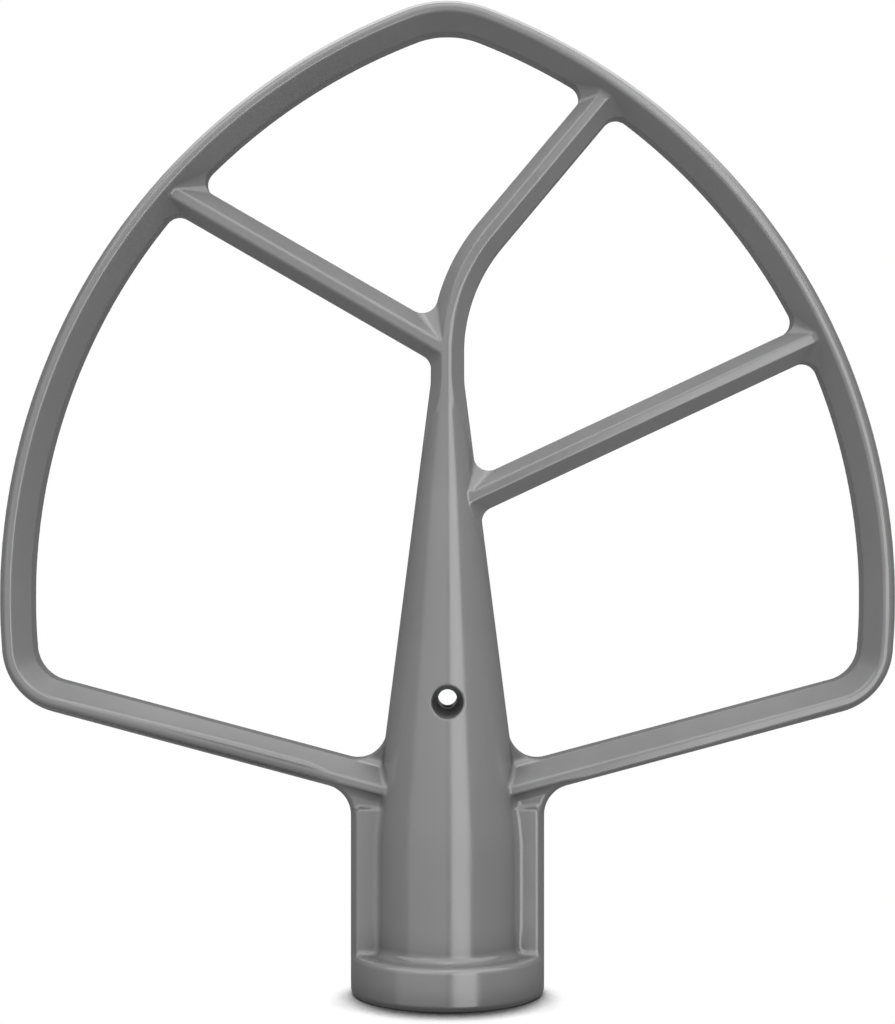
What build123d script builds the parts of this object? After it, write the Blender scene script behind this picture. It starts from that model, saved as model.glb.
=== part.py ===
"""Flat beater for a stand mixer: one aluminium casting that stands on its hub mouth.

The origin is the centre of the hub's mouth. Z points up along the drive shaft, X lies in the
plane of the blade and Y is the blade's thickness. The mould parts along the plane Y = 0.
"""
import os
from math import atan, cos, degrees, radians, sin, sqrt, tan

from build123d import *

# Outline of the blade, in its mid-plane
blade_height = 156.1
blade_half_width = 70.3
widest_height = 62.2
apex_radius = 18.7
corner_radius = 10.8
bottom_bar_height = 27.8
bottom_bar_angle = 15.0

# Sections of the frame and the bars: a straight band at the parting plane, then drafted walls
band_depth = 4.2
frame_width = 4.93
frame_depth = 10.6
bar_width = 5.25
bar_depth = 8.8
outer_draft = 20.0
inner_draft = 40.0
land_edge = 0.4

# Crossbars, arm and the corners between them
left_bar_height = 101.3
left_bar_angle = 30.0
right_bar_height = 76.1
right_bar_angle = 25.0
arm_start_height = 80.0
arm_bend_height = 100.9
arm_bend_radius = 28.8
arm_bend_angle = 40.0
opening_corner_radius = 2.4
hub_corner_radius = 4.7

# Hub, collar and the tapered shaft
hub_radius = 11.7
cone_base_height = 25.5
cone_base_radius = 45.0
cone_slope = 0.128
collar_radius = 15.24
collar_height = 6.4
collar_edge_radius = 1.0
collar_root_radius = 2.0
mouth_edge_radius = 1.6

# Neck, where the round shaft turns into the flat arm
neck_start_height = 66.0
neck_round_height = 80.0
neck_flare_height = 90.0
neck_flare_half_width = 3.45
neck_top_height = 98.5
neck_top_half_width = 2.3
neck_cover = 0.15
neck_blend_radius = 25.0
neck_blend_length = 6.0

# Edge of the blade along the shaft, which stays just inside the round wall
flank_inset = 0.08
flank_relief = 0.6
corner_clearance = 6.0

# Ribs at both sides of the hub
rib_reach = 15.18
rib_root_reach = 13.0
rib_root_radius = 1.6
rib_root_height = 2.0
rib_lean_height = 22.0
rib_top_height = 30.0
rib_foot_radius = 4.8

# Groove between each rib and the bottom bar above it
groove_depth = 1.8
groove_drop = 0.5
groove_reach = 22.0
groove_floor_width = 0.8
groove_draft = 30.0
groove_top = 8.0

# Socket for the drive shaft and its cross pin
bore_radius = 6.5
bore_depth = 41.5
bore_tip_angle = 118.0
pin_slot_width = 5.3
pin_reach = 9.85
pin_chamber_floor = 8.5
pin_chamber_height = 5.5
pin_rest_depth = 2.6

# Drain hole across the shaft
drain_height = 46.4
drain_radius = 1.6
drain_mouth_radius = 2.65
drain_waist_length = 6.4
drain_overrun = 1.0

tolerance = 0.01
least_turn = 20.0
half_band = band_depth / 2
half_frame = frame_depth / 2
half_bar = bar_depth / 2
front_plane = Plane.XZ
cone_end_height = cone_base_height + (hub_radius - flank_inset - bar_width / 2) / cone_slope
apex_centre = Vector(0, blade_height - apex_radius)
apex_rise = apex_centre.Y - widest_height
apex_inset = blade_half_width - apex_radius
side_radius = apex_radius + (apex_inset**2 + apex_rise**2) / (2 * apex_inset)
side_centre = Vector(blade_half_width - side_radius, widest_height)


def heading(angle):
    """Unit vector in the blade's plane, at an angle in degrees from +X."""
    return Vector(cos(radians(angle)), sin(radians(angle)))


def mirrored(point):
    """The same point on the other side of the blade's centre line."""
    return Vector(-point.X, point.Y)


def draft_growth(depth, angle):
    """How far a drafted wall moves sideways over a depth."""
    return depth * tan(radians(angle))


def cone_radius(height):
    """Radius of the tapered shaft at a height."""
    return hub_radius - cone_slope * (height - cone_base_height)


def reach_to_frame(start, direction, inset):
    """Point where a ray from start meets the frame's side arc, moved in by inset."""
    centre = side_centre if direction.X > 0 else mirrored(side_centre)
    offset = start - centre
    along = offset.dot(direction)
    length = sqrt(along**2 - offset.dot(offset) + (side_radius - inset) ** 2) - along
    return start + direction * length


def side_tangents():
    """Tangent points of the right side: bottom bar to corner, corner to side, side to apex."""
    up_bar = heading(bottom_bar_angle)
    inward = heading(bottom_bar_angle + 90)
    foot = Vector(0, bottom_bar_height)
    start = foot + inward * corner_radius - side_centre
    along = start.dot(up_bar)
    travel = sqrt(along**2 - start.dot(start) + (side_radius - corner_radius) ** 2) - along
    corner_centre = foot + inward * corner_radius + up_bar * travel
    bar_end = foot + up_bar * travel
    side_start = side_centre + (corner_centre - side_centre).normalized() * side_radius
    side_end = side_centre + (apex_centre - side_centre).normalized() * side_radius
    return bar_end, side_start, side_end


def frame_outline():
    """Outer edge of the blade: two bottom bars, two corners, two sides and the apex."""
    bar_end, side_start, side_end = side_tangents()
    with BuildLine() as outline:
        Line((0, bottom_bar_height), bar_end)
        TangentArc(bar_end, side_start, tangent=heading(bottom_bar_angle))
        TangentArc(side_start, side_end, tangent=(side_start - side_centre).rotate(Axis.Z, 90))
        ThreePointArc(side_end, (0, blade_height), mirrored(side_end))
        mirror(outline.edges().filter_by(lambda edge: edge.center().X > tolerance), about=Plane.YZ)
    return outline.line


def bar_strip(height, angle, side):
    """Straight crossbar from the shaft's axis into the frame."""
    start = Vector(0, height)
    direction = Vector(side * cos(radians(angle)), sin(radians(angle)))
    end = reach_to_frame(start, direction, frame_width / 2)
    with BuildSketch() as strip:
        with BuildLine():
            Line(start, end)
        trace(line_width=bar_width)
    return strip.sketch


def arm_strip():
    """Stem that rises from the shaft, bends to the right and runs up into the frame."""
    bend_centre = Vector(arm_bend_radius, arm_bend_height)
    bend_end = bend_centre + heading(180 - arm_bend_angle) * arm_bend_radius
    direction = heading(90 - arm_bend_angle)
    with BuildSketch() as strip:
        with BuildLine():
            Line((0, arm_start_height), (0, arm_bend_height))
            TangentArc((0, arm_bend_height), bend_end, tangent=(0, 1))
            Line(bend_end, reach_to_frame(bend_end, direction, frame_width / 2))
        trace(line_width=bar_width)
    return strip.sketch


def cone_flank(low, high, side):
    """Thin lens between two heights that draws the web's edge back inside the round shaft."""
    low_end = Vector(side * (cone_radius(low) - flank_inset), low)
    high_end = Vector(side * (cone_radius(high) - flank_inset), high)
    middle = (low_end + high_end) / 2 - Vector(side * flank_relief, 0)
    with BuildSketch() as lens:
        with BuildLine():
            Line(low_end, high_end)
            ThreePointArc(low_end, middle, high_end)
        make_face()
    return lens.sketch


def shaft_planform():
    """Shadow of the tapered shaft, drawn back between the corners of the openings."""
    flank_low = bottom_bar_height + frame_width + hub_corner_radius + corner_clearance
    left_high = cone_end_height - neck_blend_length
    right_high = right_bar_height - bar_width / 2 - corner_clearance
    with BuildSketch() as shadow:
        with BuildLine():
            Polyline(
                (flank_inset - cone_radius(0), 0),
                (cone_radius(0) - flank_inset, 0),
                (bar_width / 2, cone_end_height),
                (bar_width / 2, arm_bend_height),
                (-bar_width / 2, arm_bend_height),
                (-bar_width / 2, cone_end_height),
                close=True,
            )
        make_face()
        neck_corners = shadow.vertices().group_by(Axis.Y)[1]
        fillet(neck_corners, neck_blend_radius)
        add(cone_flank(flank_low, left_high, -1), mode=Mode.SUBTRACT)
        add(cone_flank(flank_low, right_high, 1), mode=Mode.SUBTRACT)
    return shadow.sketch


def blade_outline():
    """Face inside the outer edge of the blade."""
    with BuildSketch() as outline:
        with BuildLine():
            add(frame_outline())
        make_face()
    return outline.sketch


def blade_planform(outline):
    """Outer shape of the casting: the blade and the hub ribs, with a web in each corner."""
    rib_top = bottom_bar_height + draft_growth(rib_reach, bottom_bar_angle) + frame_width / 2
    with BuildSketch() as planform:
        add(outline)
        with Locations((0, rib_root_height)):
            Rectangle(2 * rib_reach, rib_top - rib_root_height, align=(Align.CENTER, Align.MIN))
        web_corners = planform.vertices().filter_by(
            lambda vertex: abs(abs(vertex.X) - rib_reach) < tolerance
            and vertex.Y > bottom_bar_height
        )
        fillet(web_corners, rib_foot_radius)
    return planform.sketch


def frame_inside(outline):
    """Face inside the inner edge of the frame."""
    with BuildSketch() as inside:
        add(outline)
        offset(amount=-frame_width, kind=Kind.INTERSECTION, mode=Mode.REPLACE)
    return inside.sketch


def end_direction(edge, vertex):
    """Tangent of an edge at the end that touches a vertex."""
    at_start = (edge.position_at(0) - Vector(vertex)).length < tolerance
    return edge.tangent_at(0 if at_start else 1)


def turn_at(vertex, edges):
    """Angle in degrees by which an outline turns at one of its vertices."""
    touching = edges.filter_by(lambda edge: edge.distance_to(vertex) < tolerance)
    first, second = (end_direction(edge, vertex) for edge in touching)
    angle = first.get_angle(second)
    return min(angle, 180 - angle)


def sharp_corners(sketch):
    """Vertices where the outlines of a sketch turn sharply, from the lowest up."""
    edges = sketch.edges()
    return sketch.vertices().filter_by(lambda vertex: turn_at(vertex, edges) > least_turn).sort_by(Axis.Y)


def frame_openings(inside):
    """The four openings between frame, bars, arm and shaft, with their corners rounded."""
    with BuildSketch() as openings:
        add(inside)
        add(bar_strip(left_bar_height, left_bar_angle, -1), mode=Mode.SUBTRACT)
        add(bar_strip(right_bar_height, right_bar_angle, 1), mode=Mode.SUBTRACT)
        add(arm_strip(), mode=Mode.SUBTRACT)
        add(shaft_planform(), mode=Mode.SUBTRACT)
        fillet(sharp_corners(openings)[2:], opening_corner_radius)
        # The two corners left are the wide ones beside the hub
        fillet(sharp_corners(openings), hub_corner_radius)
    return openings.sketch


def hub_section():
    """Section of the hub above the collar: a round wall with a flat rib on each side."""
    with BuildSketch() as section:
        Circle(hub_radius)
        Rectangle(2 * rib_root_reach, frame_depth)
        fillet(section.vertices().filter_by(lambda corner: abs(corner.X) < hub_radius), rib_root_radius)
    return section.sketch


def rib_groove(side):
    """Floor of the groove between a hub rib and the bottom bar above it."""
    along = Vector(side * cos(radians(bottom_bar_angle)), sin(radians(bottom_bar_angle)))
    start = Vector(0, bottom_bar_height - groove_drop)
    with BuildSketch() as floor:
        with BuildLine():
            Line(start, start + along * groove_reach)
        trace(line_width=groove_floor_width)
    return floor.sketch


def shaft_profile():
    """Half section of collar, hub and tapered shaft, from the axis outwards."""
    with BuildSketch(Plane.XZ) as profile:
        with BuildLine():
            Polyline(
                (0, 0),
                (collar_radius, 0),
                (collar_radius, collar_height),
                (hub_radius, collar_height),
                (hub_radius, cone_base_height),
                (cone_radius(neck_start_height), neck_start_height),
                (0, neck_start_height),
                close=True,
            )
        make_face()
        corners = profile.vertices().sort_by(Axis.Z)
        outer = corners.filter_by(lambda corner: corner.X > hub_radius - tolerance)
        foot, rim, root, base = outer.sort_by(lambda corner: corner.Z - corner.X * tolerance)
        fillet(foot, mouth_edge_radius)
        fillet(rim, collar_edge_radius)
        fillet(root, collar_root_radius)
        fillet(base, cone_base_radius)
    return profile.sketch


def drafted_block(face, low, high, angle):
    """Solid on a face between two depths, whose walls lean in by an angle from the low one."""
    with BuildPart() as block:
        with BuildSketch(front_plane.offset(low)):
            add(face)
        extrude(amount=high - low)
        if angle:
            walls = block.faces().filter_by(lambda wall: abs(wall.normal_at().Y) < tolerance)
            draft(walls, front_plane.offset(low), angle)
    return block.part


def rib_roots():
    """Concave walls between the hub ribs and the round hub, which lean in with the shaft."""
    with BuildPart() as roots:
        with BuildSketch(Plane.XY.offset(rib_root_height)):
            add(hub_section())
        extrude(amount=rib_lean_height - rib_root_height)
        with BuildSketch(Plane.XY.offset(rib_lean_height)):
            add(hub_section())
        extrude(amount=rib_top_height - rib_lean_height, taper=degrees(atan(cone_slope)))
    return roots.part


def pin_track(width, depth, low, high):
    """Straight track across the socket for the ends of the cross pin."""
    with BuildPart() as track:
        with BuildSketch(Plane.XY.offset(low)):
            Circle(pin_reach)
            Rectangle(width, depth, mode=Mode.INTERSECT)
        extrude(amount=high - low)
    return track.part


def drive_socket():
    """Blind bore with two entry slots, a turning space and two rests for the cross pin."""
    full = 2 * pin_reach
    tip_length = bore_radius / tan(radians(bore_tip_angle / 2))
    with BuildPart() as socket:
        Cylinder(bore_radius, bore_depth, align=(Align.CENTER, Align.CENTER, Align.MIN))
        with Locations((0, 0, bore_depth + tip_length / 2)):
            Cone(bore_radius, 0, tip_length)
        with Locations((0, 0, pin_chamber_floor + pin_chamber_height / 2)):
            Cylinder(pin_reach, pin_chamber_height)
        add(pin_track(full, pin_slot_width, 0, pin_chamber_floor))
        add(pin_track(pin_slot_width, full, pin_chamber_floor - pin_rest_depth, pin_chamber_floor))
    return socket.part


def drain_hole():
    """Hole across the shaft, wide at both faces and narrow in the middle."""
    waist = drain_waist_length / 2
    surface = cone_radius(drain_height)
    flare = (drain_mouth_radius - drain_radius) / (surface - waist)
    end = surface + drain_overrun
    end_radius = drain_radius + flare * (end - waist)
    with BuildPart() as hole:
        with BuildSketch(Plane.YZ):
            with BuildLine():
                Polyline(
                    (-end, drain_height),
                    (-end, drain_height + end_radius),
                    (-waist, drain_height + drain_radius),
                    (waist, drain_height + drain_radius),
                    (end, drain_height + end_radius),
                    (end, drain_height),
                    close=True,
                )
            make_face()
        revolve(axis=Axis((0, 0, drain_height), (0, 1, 0)))
    return hole.part


def bar_pocket(inside):
    """Space in front of the bars, which lie lower than the frame."""
    with BuildPart() as pocket:
        add(drafted_block(inside, half_band, half_frame, -inner_draft))
        split(bisect_by=front_plane.offset(half_bar), keep=Keep.TOP)
    return pocket.part


def frame_land_edges(body):
    """Edges where the frame's land, the largest flat on each face, turns down into drafted walls."""
    lands = body.faces().filter_by(GeomType.PLANE).filter_by(Axis.Y).sort_by(SortBy.AREA)[-2:]
    return lands.edges().filter_by(lambda edge: edge.geom_type in (GeomType.LINE, GeomType.CIRCLE))


def neck_loft():
    """Soft change from the round shaft to the flat stem, through ellipses."""
    steps = (
        (neck_start_height, cone_radius(neck_start_height), cone_radius(neck_start_height)),
        (neck_round_height, cone_radius(neck_round_height), cone_radius(neck_round_height)),
        (neck_flare_height, neck_flare_half_width, half_bar + neck_cover),
        (neck_top_height, neck_top_half_width, half_bar - neck_cover),
    )
    with BuildPart() as neck:
        for height, half_width, half_depth in steps:
            with BuildSketch(Plane.XY.offset(height)):
                Ellipse(half_width, half_depth)
        loft()
    return neck.part


outline = blade_outline()
planform = blade_planform(outline)
inside = frame_inside(outline)
openings = frame_openings(inside)

with BuildPart() as flat_beater:
    # Front half of the blade: a straight band at the parting plane, then drafted walls
    add(drafted_block(planform, 0, half_band, 0))
    add(drafted_block(planform, half_band, half_frame, outer_draft))
    for opening in openings.faces():
        add(drafted_block(opening, 0, half_band, 0), mode=Mode.SUBTRACT)
        add(drafted_block(opening, half_band, half_bar, -inner_draft), mode=Mode.SUBTRACT)
    add(bar_pocket(inside), mode=Mode.SUBTRACT)
    add(rib_roots())
    for side in (-1, 1):
        groove = drafted_block(rib_groove(side), half_frame - groove_depth, groove_top, -groove_draft)
        add(groove, mode=Mode.SUBTRACT)
    split(bisect_by=Plane.XZ, keep=Keep.TOP)
    mirror(about=Plane.XZ)
    # Shaft, hub and collar
    add(neck_loft())
    revolve(shaft_profile(), axis=Axis.Z)
    chamfer(frame_land_edges(flat_beater), land_edge)
    add(drive_socket(), mode=Mode.SUBTRACT)
    add(drain_hole(), mode=Mode.SUBTRACT)

flat_beater.part.label = "flat_beater"
os.makedirs("parts", exist_ok=True)
export_step(flat_beater.part, "parts/flat_beater.step")
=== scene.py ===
from math import cos, hypot, radians, sin, sqrt
from types import SimpleNamespace

import bpy
import numpy as np
from mathutils import Matrix, Vector


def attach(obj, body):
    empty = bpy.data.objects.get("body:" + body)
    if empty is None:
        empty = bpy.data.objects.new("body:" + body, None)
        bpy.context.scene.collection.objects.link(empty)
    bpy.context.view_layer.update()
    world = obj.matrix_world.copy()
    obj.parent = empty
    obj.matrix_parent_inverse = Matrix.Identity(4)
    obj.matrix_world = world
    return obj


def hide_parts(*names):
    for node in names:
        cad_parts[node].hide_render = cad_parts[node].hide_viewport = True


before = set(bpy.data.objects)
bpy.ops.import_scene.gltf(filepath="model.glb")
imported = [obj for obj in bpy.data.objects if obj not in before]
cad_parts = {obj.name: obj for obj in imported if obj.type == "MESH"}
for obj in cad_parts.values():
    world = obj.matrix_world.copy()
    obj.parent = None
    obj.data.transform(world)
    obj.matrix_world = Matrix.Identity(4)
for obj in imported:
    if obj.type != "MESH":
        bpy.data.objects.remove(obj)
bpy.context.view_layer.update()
mm = 0.001
tiny = 1e-9          # keeps a division from meeting zero
print("frame loaded")


def linkObject(name, mesh):  # an object for the mesh, put into the scene
    made = bpy.data.objects.new(name, mesh)
    bpy.context.scene.collection.objects.link(made)
    return made


# A mesh of four-sided faces: row i of places is vertex i, and row j of faces names j's corners.
def meshOfQuads(name, places, faces):
    mesh = bpy.data.meshes.new(name)
    mesh.vertices.add(len(places))
    mesh.vertices.foreach_set("co", places.ravel())
    mesh.loops.add(faces.size)
    mesh.loops.foreach_set("vertex_index", faces.ravel())
    mesh.polygons.add(len(faces))
    mesh.polygons.foreach_set("loop_start", np.arange(0, faces.size, faces.shape[1]))
    mesh.update(calc_edges=True)
    mesh.validate()
    return mesh


def applyModifiers(made):  # the finished mesh takes the place of the one with live modifiers
    graph = bpy.context.evaluated_depsgraph_get()
    finished = bpy.data.meshes.new_from_object(made.evaluated_get(graph))
    made.modifiers.clear()
    made.data = finished
    return finished


casting = {                    # lengths in mm, angles in degrees; a pair is where a change starts and ends
    "height": 156.1, "halfWidth": 70.3, "widestHeight": 62.2,
    "apexRadius": 18.7, "cornerRadius": 10.8,
    "bottomHeight": 27.8, "bottomAngle": 15.0,
    "band": 2.1,               # half of the straight band at the mould's parting line
    "frameWidth": 4.93, "frameLand": 5.3,
    "outerLean": 19.5, "innerLean": 38.7,
    "lowLean": 12.0, "lowReach": (16, 22), "lowHeight": (38, 52),    # under the bottom bars
    "barHalf": 2.625, "landSpread": 0.6,
    "barTop": 4.3,             # the depth at which the windows' corners are narrowest
    "left": {"height": 101.3, "angle": 30.0, "land": 4.24, "nose": 0.9, "upperLean": 45.4, "lowerLean": 35.5},
    "right": {"height": 76.1, "angle": 25.0, "land": 3.96, "nose": 1.5, "upperLean": 43.0, "lowerLean": 48.3},
    "arm": {"bendHeight": 100.9, "bendRadius": 28.8, "bendAngle": 40.0, "nose": 1.2,
            "land": 4.35, "endLand": 3.65, "fall": (101, 122),
            "stemFall": 1.9, "stemEnd": (79, 94),
            "crown": 0.17, "crownReach": 2.5, "crownEnd": (106, 120),
            "upperLean": 41.0, "lowerLean": 41.0, "endUpperLean": 47.8, "endLowerLean": 53.2},
    "cornerRound": 2.4, "hubCornerRound": 4.7, "landCornerRound": 0.5, "neckBlend": 25.0,
    "innerEdge": 0.7, "barEdge": 0.42, "leftEdge": 0.8,
    "outerEdge": 0.8, "lowLeftEdge": 1.7, "lowRightEdge": 0.6,
    "hubRadius": 11.7, "coneStart": 25.5, "coneSlope": 0.128, "coneBlend": 5.8,
    "flankInset": 0.08,        # keeps the windows' walls just inside the shaft's
    "flankRelief": 0.55, "reliefStart": (42, 50), "reliefEndLeft": (80, 88), "reliefEndRight": (58, 66),
    "ribReach": 15.18, "ribRoot": 2.0, "ribFoot": 4.8, "ribLand": 4.7, "ribTop": 29.9, "ribEndLean": 38.0,
    "ribEdge": 0.5, "ribEdgeEnd": (26, 34), "ribSoft": 1.2, "ribCorner": 1.0,
    "valley": 3.9, "valleyRound": 1.6,
    "neckStart": 80.0,
    "neckDepth": (4.72, 0.028, 0.0008),        # there, its fall per mm up, and per square mm
    "neckFade": 99.0, "neckFadeRate": 0.05,    # above this the shaft is taken back behind the stem
    "neckSwell": (74, 80), "neckSoft": 0.06, "neckLeast": 0.5, "neckNarrowest": 0.3,
    "collarRadius": 15.24, "collarHeight": 6.6, "collarEdge": 1.0, "mouthEdge": 0.9, "collarRoot": 1.5,
    "rootLeast": 0.05,         # radius where the blade meets the shaft, and its steps up and down with height
    "rootSteps": ((1.15, (4, 6)), (0.3, (8, 12)), (-0.7, (30, 32.5)), (1.8, (83, 92)), (-1.8, (98, 104))),
    "bore": 6.5, "boreDepth": 41.5, "tipSlope": 0.6009,
    "pinReach": 9.85, "slotHalf": 2.65, "chamberFloor": 8.5, "chamberTop": 14.0, "restFloor": 5.9,
    "pinOverlap": 1.0, "socketEdge": 0.35,
    "drainHeight": 46.5, "drainRadius": 1.5, "drainWaist": 3.2, "drainFlare": 0.18, "drainEdge": 0.25,
    "pitch": 0.3, "coarse": 4, "nearShare": 0.95, "farValue": 9,     # the grid that the skin is taken from
    "gridLow": (-72.0, 0.0, -1.2), "gridHigh": (72.0, 16.8, 157.8),
    "faces": 190000, "slice": 400000,
    "boxLow": (-70.299, -15.239, 0.0), "boxHigh": (70.299, 15.239, 156.099),
}


# A field holds four rows for a set of points: how deep each point lies inside a shape, in mm, and
# how fast that depth grows along x, y and z.
def field(value, alongX=0.0, alongY=0.0, alongZ=0.0):
    return np.stack(np.broadcast_arrays(value, alongX, alongY, alongZ)).astype(float)


def grown(a, amount):  # the shape grown outwards
    out = a.copy()
    out[0] += amount
    return out


def either(a, b):  # what lies in one shape or the other: the larger depth
    return np.where(a[0] > b[0], a, b)


def both(a, b):  # what lies in both shapes: the smaller depth
    return np.where(a[0] < b[0], a, b)


# Two shapes joined by a round hollow, as a ball rolled along them leaves it. With p and q the
# depths plus the radius and c the cosine between the slopes, the ball's centre lies
# sqrt((p^2 + q^2 - 2cpq) / (1 - c^2)) from the point, wherever both shares of that length are
# positive; the depth is that length less the radius.
def joined(a, b, radius, sharpest=-0.98, flattest=0.999, leastSquare=1e-12):
    p, q = a[0] + radius, b[0] + radius
    c = np.clip(a[1] * b[1] + a[2] * b[2] + a[3] * b[3], sharpest, flattest)
    u, v = p - c * q, q - c * p
    inCorner = (u > 0) & (v > 0)
    spread = 1 - c * c
    reach = np.sqrt(np.maximum(p * p + q * q - 2 * c * p * q, leastSquare) / spread)
    filled = (u * a + v * b) / (reach * spread)
    filled[0] = reach - radius
    return np.where(inCorner, filled, either(a, b))


def rounded(a, b, radius):  # what lies in both shapes, with a round edge: the hollow turned inside out
    return -joined(-a, -b, radius)


def eased(value, start, end):  # rises smoothly from 0 to 1 between start and end
    t = np.clip((value - start) / (end - start), 0, 1)
    return t * t * (3 - 2 * t)


# A wall seen from the front, leaned by an angle from a depth on: depth times the angle's cosine,
# less the way beyond that depth times its sine.
def leaned(a, at, angle, base):
    turn = np.radians(angle)
    cosine, sine = np.cos(turn), np.sin(turn)
    return field(a[0] * cosine - (at.depth - base) * sine, a[1] * cosine, -sine * at.ahead, a[3] * cosine)


# The inner corner of a window: upright walls with a round corner, and leaned walls whose corner is
# just as wide at the band and narrows evenly to a small round at the lands.
def cornered(a, b, leanA, leanB, radius, at, s, steepest=0.98):
    straight = joined(a, b, radius)
    first, second = (leaned(each, at, lean, s["band"]) for each, lean in ((a, leanA), (b, leanB)))
    flatTurn = np.clip(a[1] * b[1] + a[3] * b[3], -steepest, steepest)
    turn = np.clip(first[1] * second[1] + first[2] * second[2] + first[3] * second[3], -steepest, steepest)
    middle = first[1:] + second[1:]
    share = np.sqrt((middle[0] ** 2 + middle[2] ** 2) / ((middle**2).sum(0) + tiny))
    wide = radius * share * (np.sqrt(2 / (1 + flatTurn)) - 1) / (np.sqrt(2 / (1 + turn)) - 1)
    toLand = np.clip((at.depth - s["band"]) / (s["barTop"] - s["band"]), 0, 1)
    return both(straight, joined(first, second, wide + (s["landCornerRound"] - wide) * toLand))


def arcIn(at, centre, radius):  # inside a circle seen from the front: the radius less the distance
    dx, dz = np.abs(at.x) - centre[0], at.z - centre[1]
    reach = np.hypot(dx, dz) + tiny
    return field(radius - reach, -dx / reach * at.side, 0, -dz / reach)


# The arched frame's outline: a small arc at the apex, a large arc down each side that meets it and
# stands upright at the widest height, a corner arc inside that one, and the straight bottom bars.
def frameFields(at, s):
    up = radians(s["bottomAngle"])
    apex = (0.0, s["height"] - s["apexRadius"])
    inset, rise = s["halfWidth"] - s["apexRadius"], apex[1] - s["widestHeight"]
    sideRadius = s["apexRadius"] + (inset**2 + rise**2) / (2 * inset)
    centre = (s["halfWidth"] - sideRadius, s["widestHeight"])
    # The corner's centre slides along the bar until its arc touches the side's arc.
    foot = (-sin(up) * s["cornerRadius"] - centre[0],
            s["bottomHeight"] + cos(up) * s["cornerRadius"] - centre[1])
    along = foot[0] * cos(up) + foot[1] * sin(up)
    travel = sqrt(along**2 - foot[0] ** 2 - foot[1] ** 2 + (sideRadius - s["cornerRadius"]) ** 2) - along
    corner = (foot[0] + centre[0] + cos(up) * travel, foot[1] + centre[1] + sin(up) * travel)
    ax, z = np.abs(at.x), at.z
    barIn = field(-sin(up) * ax + cos(up) * (z - s["bottomHeight"]), -sin(up) * at.side, 0, cos(up))
    toApex = (apex[0] - centre[0], apex[1] - centre[1])
    toCorner = (corner[0] - centre[0], corner[1] - centre[1])
    atApex = toApex[0] * (z - apex[1]) - toApex[1] * (ax - apex[0]) > 0
    qx, qz = ax - corner[0], z - corner[1]
    atCorner = (sin(up) * qz + cos(up) * qx > 0) & (qx * toCorner[1] - qz * toCorner[0] > 0)
    sides = arcIn(at, centre, sideRadius)
    curved = np.where(atApex, arcIn(at, apex, s["apexRadius"]),
                      np.where(atCorner, arcIn(at, corner, s["cornerRadius"]), sides))
    outline = np.where(atApex | atCorner, curved, both(barIn, sides))
    return barIn, curved, outline


# Distances to the left of the arm's middle line: an upright stem, an arc that turns right, and a
# straight run at the bend's angle.
def armField(at, arm):
    radius, turn = arm["bendRadius"], radians(arm["bendAngle"])
    dx, dz = at.x - radius, at.z - arm["bendHeight"]
    reach = np.hypot(dx, dz) + tiny
    bend = field(reach - radius, dx / reach, 0, dz / reach)
    stem = field(-at.x, -1, 0, 0)
    normal = (-cos(turn), sin(turn))
    run = field(dx * normal[0] + dz * normal[1] - radius, normal[0], 0, normal[1])
    angle = np.arctan2(dz, -dx)
    return np.where(angle < 0, stem, np.where(angle < turn, bend, run))


def barField(at, bar, lean):  # distances above a crossbar's middle line; lean is 1 or -1 for its direction
    turn = radians(bar["angle"])
    across = lean * sin(turn)
    return field(across * at.x + cos(turn) * (at.z - bar["height"]), across, 0, cos(turn))


# All that isn't one of the four windows. Each window is closed by the frame, a crossbar and the
# shaft or the arm, with a corner between each two of them.
def windowField(at, ringIn, leftBar, rightBar, arm, s):
    z, half, slope = at.z, s["barHalf"], s["coneSlope"]
    tilt = 1 / hypot(1, slope)
    coneReach = s["hubRadius"] - slope * (z - s["coneStart"])
    reliefLeft = s["flankRelief"] * eased(z, *s["reliefStart"]) * (1 - eased(z, *s["reliefEndLeft"]))
    reliefRight = s["flankRelief"] * eased(z, *s["reliefStart"]) * (1 - eased(z, *s["reliefEndRight"]))
    flankLeft = field((coneReach - s["flankInset"] - reliefLeft + at.x) * tilt, tilt, 0, -slope * tilt)
    flankRight = field((coneReach - s["flankInset"] - reliefRight - at.x) * tilt, -tilt, 0, -slope * tilt)
    shaftLeft = joined(flankLeft, field(at.x + half, 1, 0, 0), s["neckBlend"])
    armRight = joined(flankRight, grown(arm, half), s["neckBlend"])
    fall = eased(z, *s["arm"]["fall"])
    armLower = s["arm"]["lowerLean"] + (s["arm"]["endLowerLean"] - s["arm"]["lowerLean"]) * fall
    armUpper = s["arm"]["upperLean"] + (s["arm"]["endUpperLean"] - s["arm"]["upperLean"]) * fall
    inner, small, large = s["innerLean"], s["cornerRound"], s["hubCornerRound"]
    windows = []
    for bar, barLean, wall, wallLean, footRound in (
        (grown(leftBar, half), s["left"]["lowerLean"], shaftLeft, inner, large),
        (grown(rightBar, half), s["right"]["lowerLean"], flankRight, inner, large),
        (grown(-leftBar, half), s["left"]["upperLean"], grown(-arm, half), armUpper, small),
        (grown(-rightBar, half), s["right"]["upperLean"], armRight, armLower, small),
    ):
        around = either(cornered(ringIn, bar, inner, barLean, small, at, s),
                        cornered(bar, wall, barLean, wallLean, small, at, s))
        windows.append(either(around, cornered(wall, ringIn, wallLean, inner, footRound, at, s)))
    return both(both(windows[0], windows[1]), both(windows[2], windows[3]))


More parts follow.
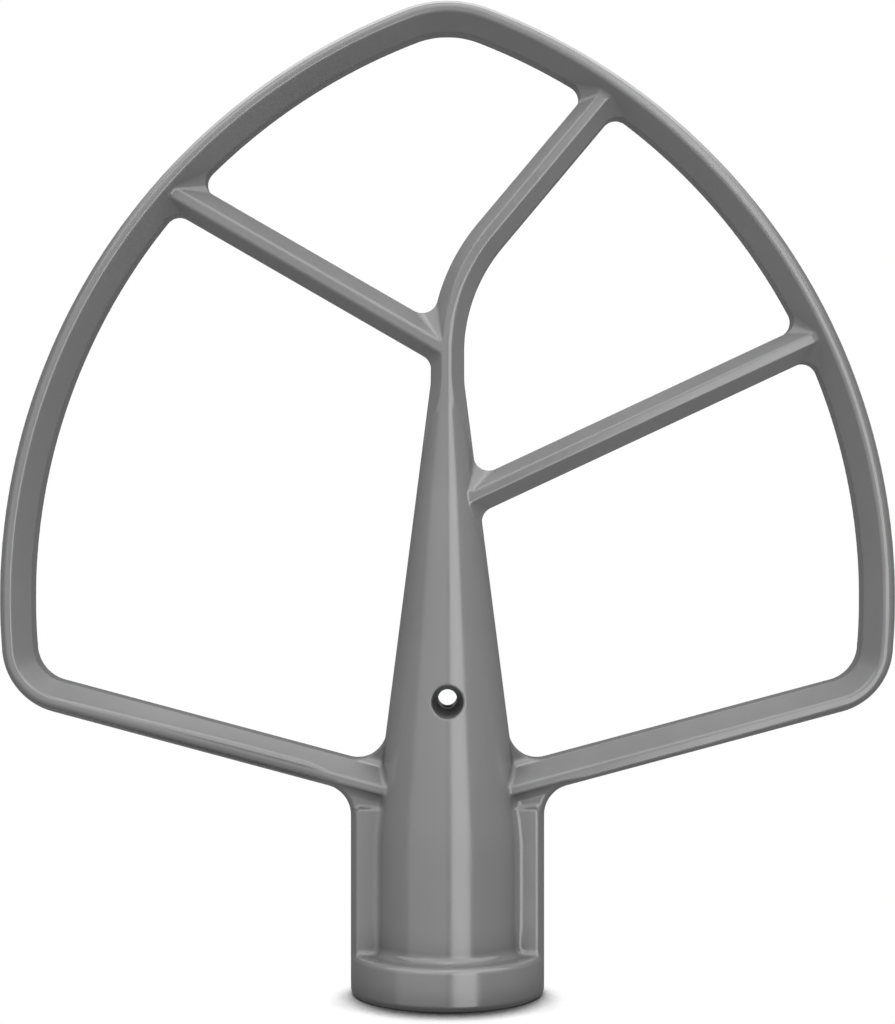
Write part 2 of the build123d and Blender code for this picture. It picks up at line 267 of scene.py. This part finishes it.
# How much each bar counts at a point: one over the fourth power of the distance from its middle
# line, made even near the line.
def barShares(at, leftBar, rightBar, arm, s):
    spread = s["landSpread"]
    weights = [
        np.where(at.x < 0, 1, 0.0) / (spread + leftBar[0] ** 2) ** 2,
        np.where(at.x > 0, 1, 0.0) / (spread + rightBar[0] ** 2) ** 2,
        1 / (spread + arm[0] ** 2) ** 2,
    ]
    return weights, sum(weights)


# The front of frame and bars: the frame's flat land, and between its leaned inner walls the lower
# land of the bars, whose height is the mean of the bars' own heights by their shares. The stem's
# land is crowned, so it falls with the square of the distance from the middle, and it sinks into
# the shaft at its lower end.
def landField(at, flatTop, ringIn, arm, weights, total, s):
    z, bend = at.z, s["arm"]
    armLand = (bend["land"] + (bend["endLand"] - bend["land"]) * eased(z, *bend["fall"])
               - bend["stemFall"] * (1 - eased(z, *bend["stemEnd"])))
    land = (weights[0] * s["left"]["land"] + weights[1] * s["right"]["land"] + weights[2] * armLand) / total
    nose = (weights[0] * s["left"]["nose"] + weights[1] * s["right"]["nose"]
            + weights[2] * bend["nose"]) / total
    off = np.clip(arm[0], -bend["crownReach"], bend["crownReach"])
    crown = bend["crown"] * (1 - eased(z, *bend["crownEnd"])) * weights[2] / total
    rise = -2 * crown * off
    level = 1 / np.sqrt(1 + rise**2)
    barTop = field((land - crown * off**2 - at.depth) * level,
                   rise * arm[1] * level, -at.ahead * level, rise * arm[3] * level)
    frameWall = leaned(ringIn, at, s["innerLean"], s["band"])
    return rounded(flatTop, joined(barTop, frameWall, nose), s["innerEdge"])


# The front of the hub's ribs: a low land with a slanted upper end, and a valley from there up to
# the leaned wall of the bottom bar.
def ribField(at, flatTop, barIn, ribSide, outerLean, s):
    barWall = leaned(barIn, at, outerLean, s["band"])
    ribEnd = leaned(field(s["ribTop"] - at.z, 0, 0, -1), at, s["ribEndLean"], s["valley"])
    ribOuter = leaned(ribSide, at, s["outerLean"], s["band"])
    ends = rounded(ribEnd, ribOuter, s["ribCorner"])
    pad = rounded(field(s["ribLand"] - at.depth, 0, -at.ahead, 0), ends, s["ribEdge"])
    lowFront = joined(field(s["valley"] - at.depth, 0, -at.ahead, 0), pad, s["ribSoft"])
    lowFront = joined(lowFront, barWall, s["valleyRound"])
    return rounded(flatTop, lowFront, s["ribEdge"])


# Frame, bars and ribs: their fronts cut out by the windows and by the leaned outer wall.
def bladeField(at, s):
    flatTop = field(s["frameLand"] - at.depth, 0, -at.ahead, 0)
    low = eased(np.abs(at.x), *s["lowReach"]) * (1 - eased(at.z, *s["lowHeight"]))
    outerLean = s["outerLean"] + (s["lowLean"] - s["outerLean"]) * low
    barIn, curved, outline = frameFields(at, s)
    ribSide = field(s["ribReach"] - np.abs(at.x), -at.side, 0, 0)
    plan = both(both(curved, joined(barIn, ribSide, s["ribFoot"])), field(at.z - s["ribRoot"], 0, 0, 1))
    outerWall = both(plan, leaned(plan, at, outerLean, s["band"]))
    ringIn = grown(-outline, s["frameWidth"])
    leftBar, rightBar = barField(at, s["left"], 1), barField(at, s["right"], -1)
    arm = armField(at, s["arm"])
    weights, total = barShares(at, leftBar, rightBar, arm, s)
    front = landField(at, flatTop, ringIn, arm, weights, total, s)
    front = both(front, ribField(at, flatTop, barIn, ribSide, outerLean, s))
    windowEdge = s["barEdge"] + (s["leftEdge"] - s["barEdge"]) * (weights[0] / total)
    blade = rounded(front, windowField(at, ringIn, leftBar, rightBar, arm, s), windowEdge)
    lowEdge = np.where(at.x < 0, s["lowLeftEdge"], s["lowRightEdge"])
    edge = s["outerEdge"] + (lowEdge - s["outerEdge"]) * low
    edge = s["ribEdge"] + (edge - s["ribEdge"]) * eased(at.z, *s["ribEdgeEnd"])
    return rounded(blade, outerWall, edge)


# The shaft: a straight hub, then a cone, each cut a circle. Near the neck the circle turns into an
# ellipse as wide as the cone and as deep as the stem, with a smooth change from one to the other.
def shaftField(at, s):
    x, z, depth, slope = at.x, at.z, at.depth, s["coneSlope"]
    start = s["coneStart"] - s["coneBlend"] / 2
    ramp = np.clip((z - start) / s["coneBlend"], 0, 1)
    begun = s["coneBlend"] * ramp**2 / 2
    reach = s["hubRadius"] - slope * (begun + np.maximum(z - start - s["coneBlend"], 0))
    reachSlope = -slope * ramp
    base, fallOff, bow = s["neckDepth"]
    up = np.maximum(z - s["neckStart"], 0)
    stemDepth = np.maximum(base - fallOff * up - bow * up**2, s["neckLeast"])
    stemSlope = -fallOff - 2 * bow * up
    swell = eased(z, *s["neckSwell"])
    gapTo = reach - stemDepth
    blend = np.sqrt(gapTo**2 + s["neckSoft"])
    tall = 0.5 * (reach + stemDepth + blend)
    tallSlope = 0.5 * (reachSlope + stemSlope + gapTo * (reachSlope - stemSlope) / blend)
    tall = reach + (tall - reach) * swell
    tallSlope = reachSlope + (tallSlope - reachSlope) * swell
    wide = np.maximum(reach, s["neckNarrowest"])
    sx, sy = x / wide**2, depth / tall**2
    size = np.sqrt(x * sx + depth * sy) + tiny
    steep = np.sqrt(sx**2 + sy**2) + tiny
    fade = np.maximum(z - s["neckFade"], 0)
    return field(
        (1 - size) * size / steep - s["neckFadeRate"] * fade**2,
        -sx / steep, -sy / steep * at.ahead,
        (x * sx * reachSlope / wide + depth * sy * tallSlope / tall) / steep - 2 * s["neckFadeRate"] * fade,
    )


def roundIn(at, radius):  # inside an upright cylinder round the shaft's axis
    return field(radius - at.across, -at.outX, -at.outY, 0)


# The socket: a bore with a conical end, a chamber in which the cross pin turns, a slot along x
# through which it enters, and rests along y in which it comes to lie.
def socketField(at, s):
    slant = hypot(1, s["tipSlope"])
    tip = (s["boreDepth"] + (s["bore"] - at.across) * s["tipSlope"] - at.z) / slant
    tipOut = -s["tipSlope"] / slant
    hollow = both(roundIn(at, s["bore"]), field(tip, tipOut * at.outX, tipOut * at.outY, -1 / slant))
    wideBore = roundIn(at, s["pinReach"])
    underTop = field(s["chamberTop"] - at.z, 0, 0, -1)
    underChamber = field(s["chamberFloor"] + s["pinOverlap"] - at.z, 0, 0, -1)
    chamber = both(wideBore, both(field(at.z - s["chamberFloor"], 0, 0, 1), underTop))
    slot = both(wideBore, both(field(s["slotHalf"] - at.depth, 0, -at.ahead, 0), underChamber))
    rest = both(wideBore, both(field(s["slotHalf"] - np.abs(at.x), -at.side, 0, 0),
                               both(field(at.z - s["restFloor"], 0, 0, 1), underChamber)))
    return either(either(hollow, chamber), either(slot, rest))


# The drain hole along y: a narrow waist in the middle that opens as a cone to both sides.
def drainField(at, s):
    dz = at.z - s["drainHeight"]
    off = np.hypot(at.x, dz) + tiny
    flare = s["drainFlare"] * (at.depth > s["drainWaist"])
    level = 1 / np.sqrt(1 + flare**2)
    return field((s["drainRadius"] + flare * (at.depth - s["drainWaist"]) - off) * level,
                 -at.x / off * level, flare * at.ahead * level, -dz / off * level)


# The whole casting: blade and shaft with collar, joined by a root whose radius changes with
# height, cut flat at the mouth, less the socket and the drain hole.
def beaterField(x, y, z, s):
    at = SimpleNamespace(x=x, z=z, depth=np.abs(y), across=np.hypot(x, y) + tiny)
    at.side = np.where(x < 0, -1.0, 1.0)
    at.ahead = np.where(y < 0, -1.0, 1.0)
    at.outX, at.outY = x / at.across, y / at.across
    collar = rounded(roundIn(at, s["collarRadius"]), field(s["collarHeight"] - z, 0, 0, -1), s["collarEdge"])
    shaft = joined(shaftField(at, s), collar, s["collarRoot"])
    root = sum((step * eased(z, *span) for step, span in s["rootSteps"]), s["rootLeast"])
    body = joined(bladeField(at, s), shaft, root)
    body = rounded(body, field(z, 0, 0, 1), s["mouthEdge"])
    body = rounded(body, -socketField(at, s), s["socketEdge"])
    return rounded(body, -drainField(at, s), s["drainEdge"])


def beaterAt(places, s):  # the field at rows of points, slice by slice to spare memory
    x, y, z = places.T
    parts = [beaterField(x[i:i + s["slice"]], y[i:i + s["slice"]], z[i:i + s["slice"]], s)
             for i in range(0, len(places), s["slice"])]
    return np.concatenate(parts, axis=1)


# Depths on an even grid. The half behind the blade's middle is worked out first on a coarse grid,
# and then in full in the cells near the skin; the others keep a far value of the right sign. The
# front half is its mirror image.
def sampledGrid(s):
    pitch, step = s["pitch"], s["coarse"]
    wide = pitch * step
    low = np.array(s["gridLow"])
    counts = np.ceil((np.array(s["gridHigh"]) - low) / wide).astype(int)
    axes = [low[k] + wide * np.arange(counts[k] + 1) for k in range(3)]
    nodes = np.stack(np.meshgrid(*axes, indexing="ij"), -1)
    rough = beaterAt(nodes.reshape(-1, 3), s)[0].reshape(nodes.shape[:3]).astype(np.float32)
    corners = [rough[i:i + counts[0], j:j + counts[1], k:k + counts[2]]
               for i in (0, 1) for j in (0, 1) for k in (0, 1)]
    nearest = np.min(np.abs(np.stack(corners)), axis=0)
    far = np.sign(corners[0]) * s["farValue"]
    fine = np.repeat(np.repeat(np.repeat(far, step, 0), step, 1), step, 2).astype(np.float32)
    cells = np.argwhere(nearest < s["nearShare"] * wide)
    offsets = np.stack(np.meshgrid(*[np.arange(step)] * 3, indexing="ij"), -1).reshape(-1, 3)
    nodes = (cells[:, None, :] * step + offsets[None]).reshape(-1, 3)
    fine[tuple(nodes.T)] = beaterAt(low + pitch * nodes, s)[0]
    whole = np.concatenate([fine[:, :0:-1], fine], axis=1)
    return whole, np.array([low[0], -pitch * (fine.shape[1] - 1), low[2]])


# A net over the grid: each grid edge whose ends lie on different sides of the skin gives a quad
# between the four cells round it, and each cell's vertex is the mean of the crossings on its edges.
def netSurface(values, low, pitch):
    shape = np.array(values.shape)
    strides = np.array([(shape[1] - 1) * (shape[2] - 1), shape[2] - 1, 1])
    inside = values > 0
    quads, crossings = [], []
    for axis in range(3):
        other = [k for k in range(3) if k != axis]
        step = np.zeros(3, dtype=int)
        step[axis] = 1
        cut = np.argwhere(np.diff(inside, axis=axis))
        cut = cut[np.all((cut[:, other] > 0) & (cut[:, other] < shape[other] - 1), axis=1)]
        here, beyond = (values[tuple(nodes.T)].astype(float) for nodes in (cut, cut + step))
        point = cut.astype(float)
        point[:, axis] += here / (here - beyond)
        around = np.zeros((4, 3), dtype=int)
        around[:, other] = ((-1, -1), (0, -1), (0, 0), (-1, 0))
        ids = (cut[:, None] + around[None]) @ strides
        turned = (here > 0) != (axis != 1)       # the corners run the other way round for the y axis
        ids[turned] = ids[turned][:, ::-1]
        quads.append(ids)
        crossings.append(np.repeat(point, 4, axis=0))
    quads, crossings = np.concatenate(quads), np.concatenate(crossings)
    unique, back = np.unique(quads.ravel(), return_inverse=True)
    number = np.bincount(back)
    places = np.stack([np.bincount(back, weights=crossings[:, k]) for k in range(3)], axis=1)
    return low + pitch * places / number[:, None], back.reshape(-1, 4)


# Points moved onto the skin: each goes back along the slope by the depth over the slope's square,
# but no further than most.
def settled(places, s, passes=3, most=0.3, leastSteep=0.25):
    for _ in range(passes):
        depth, *slope = beaterAt(places, s)
        slope = np.stack(slope)
        step = -depth * slope / np.maximum((slope * slope).sum(0), leastSteep)
        size = np.sqrt((step**2).sum(0)) + tiny * mm
        places = places + (step * np.minimum(1, most / size)).T
    return places


# The casting's skin: a net over the field, thinned and settled again, with shading normals that
# point against the field's slope.
def makeCasting(s):
    values, low = sampledGrid(s)
    print("grid", values.shape)
    places, faces = netSurface(values, low, s["pitch"])
    places = settled(places, s)
    print("net", len(faces))
    made = linkObject("castBeater", meshOfQuads("castBeater", places * mm, faces))
    thin = made.modifiers.new("thinner", "DECIMATE")
    thin.ratio = s["faces"] / (2 * len(faces))
    mesh = applyModifiers(made)
    places = np.empty(len(mesh.vertices) * 3)
    mesh.vertices.foreach_get("co", places)
    places = settled(places.reshape(-1, 3) / mm, s, passes=1, most=0.05)
    places = np.clip(places, s["boxLow"], s["boxHigh"])
    mesh.vertices.foreach_set("co", (places * mm).ravel())
    mesh.update()
    slopes = beaterAt(places, s)[1:]
    slopes /= np.maximum(np.sqrt((slopes**2).sum(0)), tiny)
    mesh.shade_smooth()
    mesh.normals_split_custom_set_from_vertices((-slopes.T).tolist())
    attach(made, "root")
    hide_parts("flat_beater")
    print("casting", len(mesh.polygons))
    return made


coat = {                              # lengths in m
    "light": (0.200, 0.200, 0.201, 1.0), "dark": (0.186, 0.186, 0.188, 1.0),
    "cloudScale": 45.0, "cloudDetail": 3.0, "cloudRange": (0.35, 0.65),
    # painted shade in hollows: how far it looks, the openness it maps from, and the least factor it leaves
    "paintedShadeReach": 5.5 * mm, "paintedShadeRange": (0.45, 0.95), "paintedShadeLeast": 0.45, "paintedShadeSamples": 8,
    "smooth": 0.15, "dull": 0.22, "sheenScale": 260.0, "sheenDetail": 2.0, "sheenRange": (0.3, 0.7),
    "specular": 0.7,
    "grainScale": 2200.0, "grainDetail": 2.0, "grainHeight": 0.008, "grainDepth": 0.1 * mm,
}


# A satin coat. Its colour goes between two greys with a cloudy noise, and painted shade darkens it in
# hollows by how much of the surroundings they see; finer noises give the roughness and the height of the
# bump.
def makeCoat(settings):
    material = bpy.data.materials.new("greyCoat")
    material.use_nodes = True
    nodes, links = material.node_tree.nodes, material.node_tree.links
    shader = nodes["Principled BSDF"]
    shader.inputs["Specular IOR Level"].default_value = settings["specular"]
    place = nodes.new("ShaderNodeTexCoord")

    def noise(scale, detail):
        made = nodes.new("ShaderNodeTexNoise")
        made.inputs["Scale"].default_value = scale
        made.inputs["Detail"].default_value = detail
        links.new(place.outputs["Object"], made.inputs["Vector"])
        return made.outputs["Fac"]

    def ranged(source, fromRange, toLow, toHigh):
        made = nodes.new("ShaderNodeMapRange")
        for name, value in zip(("From Min", "From Max", "To Min", "To Max"), (*fromRange, toLow, toHigh)):
            made.inputs[name].default_value = value
        links.new(source, made.inputs["Value"])
        return made.outputs["Result"]

    cloud = nodes.new("ShaderNodeMix")
    cloud.data_type = "RGBA"
    cloud.inputs[6].default_value = settings["dark"]      # sockets 6 and 7 are the node's two colours
    cloud.inputs[7].default_value = settings["light"]
    clouds = noise(settings["cloudScale"], settings["cloudDetail"])
    links.new(ranged(clouds, settings["cloudRange"], 0, 1), cloud.inputs["Factor"])
    # Painted shade: the colour is scaled down where ambient occlusion finds the surface enclosed.
    hollow = nodes.new("ShaderNodeAmbientOcclusion")
    hollow.samples = settings["paintedShadeSamples"]
    hollow.inputs["Distance"].default_value = settings["paintedShadeReach"]
    shaded = nodes.new("ShaderNodeVectorMath")
    shaded.operation = "SCALE"
    links.new(cloud.outputs[2], shaded.inputs[0])         # output 2 is the mixed colour
    shade = ranged(hollow.outputs["AO"], settings["paintedShadeRange"], settings["paintedShadeLeast"], 1)
    links.new(shade, shaded.inputs["Scale"])
    links.new(shaded.outputs["Vector"], shader.inputs["Base Color"])
    sheen = noise(settings["sheenScale"], settings["sheenDetail"])
    roughness = ranged(sheen, settings["sheenRange"], settings["smooth"], settings["dull"])
    links.new(roughness, shader.inputs["Roughness"])
    bump = nodes.new("ShaderNodeBump")
    bump.inputs["Strength"].default_value = settings["grainHeight"]
    bump.inputs["Distance"].default_value = settings["grainDepth"]
    links.new(noise(settings["grainScale"], settings["grainDetail"]), bump.inputs["Height"])
    links.new(bump.outputs["Normal"], shader.inputs["Normal"])
    return material


floor = {                             # lengths in m
    "reach": 1.2, "bend": 0.3, "columns": 3, "bendRows": 25,
    "shade": 0.35, "roughness": 0.9,  # what lights the beater from below
    # a painted shadow in the glow that the camera sees
    "shadowReach": 8 * mm, "shadowSamples": 8,
    "shadowFrom": (0.0, 0.75, 0.66),  # the side on which the shadow looks for the beater
    "shadowTones": ((0.45, 0.02), (0.60, 0.32), (0.70, 1.0)),    # openness and the grey that it gets
}


# A floor that bends up into a backdrop, on a grid across and along: straight, then a quarter
# circle of the bend's radius, then a straight wall.
def makeFloor(settings):
    reach, bend = settings["reach"], settings["bend"]
    across = np.linspace(-reach, reach, settings["columns"])
    turn = np.linspace(0, np.pi / 2, settings["bendRows"])
    depth = np.concatenate([[-reach], reach - bend + bend * np.sin(turn), [reach]])
    height = np.concatenate([[0.0], bend - bend * np.cos(turn), [2 * reach]])
    x, i = np.meshgrid(across, np.arange(len(depth)))
    places = np.stack([x.ravel(), depth[i].ravel(), height[i].ravel()], axis=1)
    n = len(across)
    start = (np.arange(len(depth) - 1)[:, None] * n + np.arange(n - 1)[None, :]).ravel()
    faces = np.stack([start, start + 1, start + n + 1, start + n], axis=1)
    made = linkObject("paleFloor", meshOfQuads("paleFloor", places, faces))
    made.data.shade_smooth()
    made.data.materials.append(makeFloorPaint(settings))
    made.visible_glossy = False


# The camera sees a white glow with a painted shadow, darkened near the beater by how much of it is
# close; every other ray meets a plain grey floor.
def makeFloorPaint(settings):
    material = bpy.data.materials.new("paleFloor")
    material.use_nodes = True
    nodes, links = material.node_tree.nodes, material.node_tree.links
    shader = nodes["Principled BSDF"]
    shader.inputs["Base Color"].default_value = (settings["shade"],) * 3 + (1,)
    shader.inputs["Roughness"].default_value = settings["roughness"]
    shader.inputs["Specular IOR Level"].default_value = 0.0
    # Painted shadow: ambient occlusion sets the glow's grey near the beater.
    shadow = nodes.new("ShaderNodeAmbientOcclusion")
    shadow.samples = settings["shadowSamples"]
    shadow.inputs["Distance"].default_value = settings["shadowReach"]
    towards = nodes.new("ShaderNodeCombineXYZ")
    for axis, value in zip("XYZ", settings["shadowFrom"]):
        towards.inputs[axis].default_value = value
    links.new(towards.outputs["Vector"], shadow.inputs["Normal"])
    tones = nodes.new("ShaderNodeValToRGB")
    tones.color_ramp.elements.new(0.5)
    for stop, (openness, grey) in zip(tones.color_ramp.elements, settings["shadowTones"]):
        stop.position, stop.color = openness, (grey, grey, grey, 1)
    links.new(shadow.outputs["AO"], tones.inputs["Fac"])
    glow = nodes.new("ShaderNodeEmission")
    links.new(tones.outputs["Color"], glow.inputs["Color"])
    rays = nodes.new("ShaderNodeLightPath")
    mix = nodes.new("ShaderNodeMixShader")
    links.new(rays.outputs["Is Camera Ray"], mix.inputs["Fac"])
    links.new(shader.outputs["BSDF"], mix.inputs[1])
    links.new(glow.outputs["Emission"], mix.inputs[2])
    links.new(mix.outputs["Shader"], nodes["Material Output"].inputs["Surface"])
    return material


def aimedAt(place, target):  # a matrix that stands at the place and looks with -Z at the target
    direction = (Vector(target) - Vector(place)).normalized()
    return Matrix.Translation(place) @ direction.to_track_quat("-Z", "Y").to_matrix().to_4x4()


lamps = {
    # name: place (m), width, height (m), power (W)
    "topLeft": ((-0.45, -0.2, 0.9), 0.9, 1.2, 5.6),
    "topRight": ((0.45, -0.2, 0.9), 0.9, 1.2, 6.5),
    "topFront": ((0.0, -0.8, 0.75), 1.4, 0.5, 4.4),
    "tallRight": ((0.315, -0.843, 0.08), 0.465, 0.9, 4.3),
    "backTop": ((0.0, 0.9, 0.75), 1.6, 0.5, 2.6),
    "fillLeft": ((-0.58, -0.93, 0.1), 1.3, 0.9, 2.8),
}
lampTarget = (0, 0, 80 * mm)
airStrength = 0.17


def makeLamps(settings, target):  # rectangular lamps, each turned to the beater
    for name, (place, width, height, power) in settings.items():
        lamp = bpy.data.lights.new(name, "AREA")
        lamp.shape = "RECTANGLE"
        lamp.size, lamp.size_y, lamp.energy = width, height, power
        made = bpy.data.objects.new(name, lamp)
        made.matrix_world = aimedAt(place, target)
        bpy.context.scene.collection.objects.link(made)


def makeWorld(strength):  # an even white light from all round
    world = bpy.data.worlds.new("studioAir")
    bpy.context.scene.world = world
    world.use_nodes = True
    back = world.node_tree.nodes["Background"]
    back.inputs["Color"].default_value = (1, 1, 1, 1)
    back.inputs["Strength"].default_value = strength


camera = {
    "distance": 347.6 * mm, "height": 75.76 * mm,    # level, in front of the shaft's axis
    "viewHeight": 161.8 * mm,                        # what the picture takes in at the blade's mid-plane
    "sensorWidth": 36.0, "sensorHeight": 24.0,
    "clip": (0.01, 10),
}


def makeCamera(settings):  # the lens is to the sensor's height as the distance is to the view's height
    data = bpy.data.cameras.new("photoCamera")
    data.sensor_fit = "VERTICAL"
    data.sensor_height, data.sensor_width = settings["sensorHeight"], settings["sensorWidth"]
    data.lens = settings["sensorHeight"] * settings["distance"] / settings["viewHeight"]
    data.clip_start, data.clip_end = settings["clip"]
    made = bpy.data.objects.new("photoCamera", data)
    made.matrix_world = aimedAt((0, -settings["distance"], settings["height"]), (0, 0, settings["height"]))
    bpy.context.scene.collection.objects.link(made)
    bpy.context.scene.camera = made


beater = makeCasting(casting)
beater.data.materials.clear()
beater.data.materials.append(makeCoat(coat))
print("coat")
makeFloor(floor)
makeLamps(lamps, lampTarget)
makeWorld(airStrength)
makeCamera(camera)
bpy.context.scene.view_settings.view_transform = "Standard"
print("studio")
